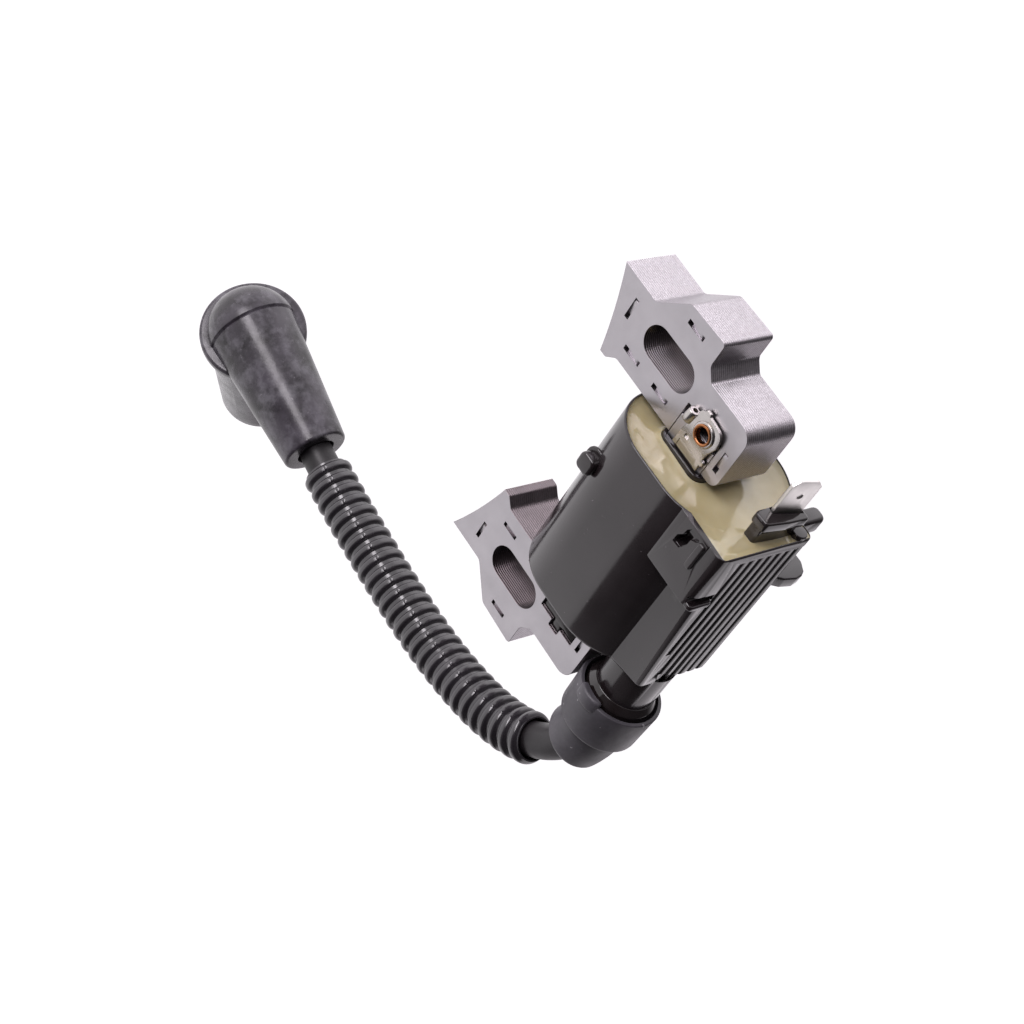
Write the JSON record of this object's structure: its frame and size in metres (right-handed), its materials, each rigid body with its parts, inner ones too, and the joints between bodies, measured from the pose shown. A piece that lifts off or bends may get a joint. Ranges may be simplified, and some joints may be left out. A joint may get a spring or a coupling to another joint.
{
  "type": "ignition coil",
  "caption": "Small-engine ignition coil: moulded coil case on a two-legged laminated steel core with slotted feet, sleeved high-tension lead and right-angled spark plug cap.",
  "frame": {"origin": "midway between the centres of the two mounting slots, on the face of the core that seats on the engine", "axes": "+X from the stop blade towards the tower and lead, +Y out of the core's seating face towards the engine, +Z from the pole faces towards the top of the coil, so the pole faces point down and the lead hangs"},
  "size_m": [0.1329, 0.0388, 0.1391],
  "materials": {
    "lamination_steel": "ground and lightly oiled sheet edges",
    "key_plastic": "black moulded key",
    "case_plastic": "satin charcoal thermoplastic",
    "bobbin_plastic": "glossy black thermoplastic",
    "inner_plastic": "plain cream thermoplastic",
    "winding_copper": "enamelled copper wire",
    "epoxy": "glossy cream potting resin",
    "nickel_plate": "bright nickel plating",
    "tin_plate": "dull tin plating",
    "eyelet_copper": "bare copper",
    "contact_brass": "bare brass",
    "board_laminate": "green circuit-board laminate",
    "device_body": "black moulded device body",
    "resistor_body": "tan lacquer",
    "lead_jacket": "black insulation",
    "conduit_plastic": "glossy black ribbed sleeve",
    "boot_rubber": "dusty dark grey rubber"
  },
  "bodies": {
    "coil": {"core_leg_left": "lamination_steel", "core_leg_right": "lamination_steel", "core_crossbar": "lamination_steel", "core_key_left": "key_plastic", "core_key_right": "key_plastic", "housing": "case_plastic", "primary_bobbin": "bobbin_plastic", "terminal_holder": "bobbin_plastic", "secondary_bobbin": "inner_plastic", "primary_winding": "winding_copper", "secondary_winding": "winding_copper", "lead_conductor": "winding_copper", "stop_post": "winding_copper", "potting_epoxy": "epoxy", "ground_clip": "nickel_plate", "stop_terminal": "tin_plate", "ground_eyelet": "eyelet_copper", "hv_contact_pin": "contact_brass", "boot_terminal": "contact_brass", "circuit_board": "board_laminate", "switching_transistor": "device_body", "protection_diode": "device_body", "bias_resistor": "resistor_body", "ht_lead": "lead_jacket", "conduit": "conduit_plastic", "tower_boot": "boot_rubber"},
    "plug_cap": {"plug_cap": "boot_rubber", "cap_contact_rod": "contact_brass", "plug_terminal_clip": "contact_brass"}
  },
  "joints": [
    {"name": "cap_swivel", "type": "hinge", "parent": "coil", "child": "plug_cap", "pos_m": [0.0646, -0.0055, -0.0589], "axis": [-0.134, 0, -0.991], "range_deg": [-90, 90]}
  ]
}
